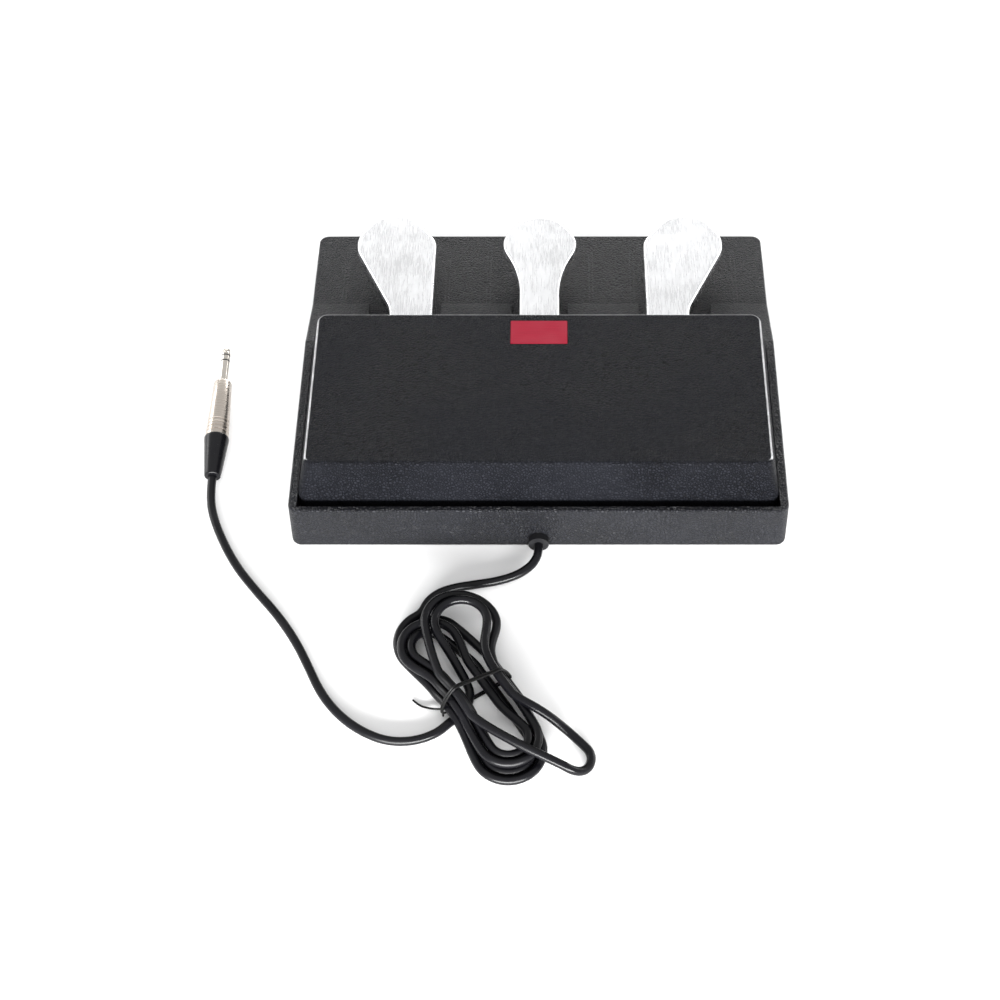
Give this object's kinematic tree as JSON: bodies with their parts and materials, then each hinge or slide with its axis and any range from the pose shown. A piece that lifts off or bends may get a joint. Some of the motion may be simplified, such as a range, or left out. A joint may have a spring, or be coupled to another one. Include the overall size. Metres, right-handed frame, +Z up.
{
  "type": "triple pedal unit",
  "caption": "Floor pedal unit for a stage piano: moulded base and hood, sprung metal pedals on one axle, and a cord with a three-pole jack plug.",
  "frame": {"origin": "on the floor under the centre of the base", "axes": "+X to the player's right, seen facing the unit from behind the pedals' tips; +Y to the rear, where the cord leaves; +Z up"},
  "size_m": [0.4089, 0.4757, 0.0686],
  "materials": {
    "base_plastic": "fine leather grain",
    "cover_plastic": "fine leather grain",
    "badge_red": "gloss",
    "plate_steel": "black powder coat",
    "foot_rubber": "matt",
    "screw_steel": "zinc plated",
    "chassis_steel": "zinc plated sheet",
    "axle_steel": "ground",
    "clip_steel": "phosphated",
    "pedal_metal": "satin plated, polished rim",
    "bush_nylon": "natural nylon",
    "spring_steel": "zinc plated wire",
    "cup_plastic": "matt",
    "stop_rubber": "matt",
    "stop_felt": "pressed wool felt",
    "magnet_metal": "nickel plated",
    "board_laminate": "solder mask",
    "spacer_brass": "turned",
    "sensor_body": "moulded",
    "connector_body": "moulded",
    "clamp_plastic": "moulded",
    "gland_plastic": "moulded",
    "cord_sheath": "satin",
    "tie_wire": "sleeved wire",
    "contact_nickel": "nickel plated",
    "insulator_plastic": "moulded",
    "barrel_nickel": "satin nickel",
    "boot_rubber": "matt"
  },
  "bodies": {
    "housing": {"base_tray": "base_plastic", "top_cover": "cover_plastic", "badge": "badge_red", "bottom_plate": "plate_steel", "feet": "foot_rubber", "plate_screws": "screw_steel", "cover_screws": "screw_steel", "chassis": "chassis_steel", "chassis_screws": "screw_steel", "axle": "axle_steel", "axle_clips": "clip_steel", "stop_bridge": "chassis_steel", "bridge_screws": "screw_steel", "spring_cup_left": "cup_plastic", "spring_left": "spring_steel", "down_stop_left": "stop_rubber", "up_stop_left": "stop_felt", "sensor_left": "sensor_body", "spring_cup_middle": "cup_plastic", "spring_middle": "spring_steel", "down_stop_middle": "stop_rubber", "up_stop_middle": "stop_felt", "sensor_middle": "sensor_body", "spring_cup_right": "cup_plastic", "spring_right": "spring_steel", "down_stop_right": "stop_rubber", "up_stop_right": "stop_felt", "sensor_right": "sensor_body", "sensor_board": "board_laminate", "board_spacers": "spacer_brass", "board_screws": "screw_steel", "board_connector": "connector_body", "inner_lead": "cord_sheath", "cable_clamp": "clamp_plastic", "clamp_screws": "screw_steel", "cord_gland": "gland_plastic", "cord_lead": "cord_sheath", "cord_hank": "cord_sheath", "cord_tail": "cord_sheath", "hank_tie": "tie_wire", "plug_boot": "boot_rubber", "plug_barrel": "barrel_nickel", "plug_sleeve": "contact_nickel", "plug_ring": "contact_nickel", "plug_insulators": "insulator_plastic", "plug_tip": "contact_nickel"},
    "pedal_left": {"pedal_left": "pedal_metal", "bushes_left": "bush_nylon", "magnet_left": "magnet_metal"},
    "pedal_middle": {"pedal_middle": "pedal_metal", "bushes_middle": "bush_nylon", "magnet_middle": "magnet_metal"},
    "pedal_right": {"pedal_right": "pedal_metal", "bushes_right": "bush_nylon", "magnet_right": "magnet_metal"}
  },
  "joints": [
    {"name": "pedal_left_press", "type": "hinge", "parent": "housing", "child": "pedal_left", "pos_m": [-0.0935, 0.083, 0.04], "axis": [1, 0, 0], "range_deg": [0, 3.5], "stiffness_Nm_per_rad": 15, "springref_deg": -11.46, "deforming": ["spring_left"]},
    {"name": "pedal_middle_press", "type": "hinge", "parent": "housing", "child": "pedal_middle", "pos_m": [0, 0.083, 0.04], "axis": [1, 0, 0], "range_deg": [0, 3.5], "stiffness_Nm_per_rad": 15, "springref_deg": -11.46, "deforming": ["spring_middle"]},
    {"name": "pedal_right_press", "type": "hinge", "parent": "housing", "child": "pedal_right", "pos_m": [0.0935, 0.083, 0.04], "axis": [1, 0, 0], "range_deg": [0, 3.5], "stiffness_Nm_per_rad": 15, "springref_deg": -11.46, "deforming": ["spring_right"]}
  ]
}
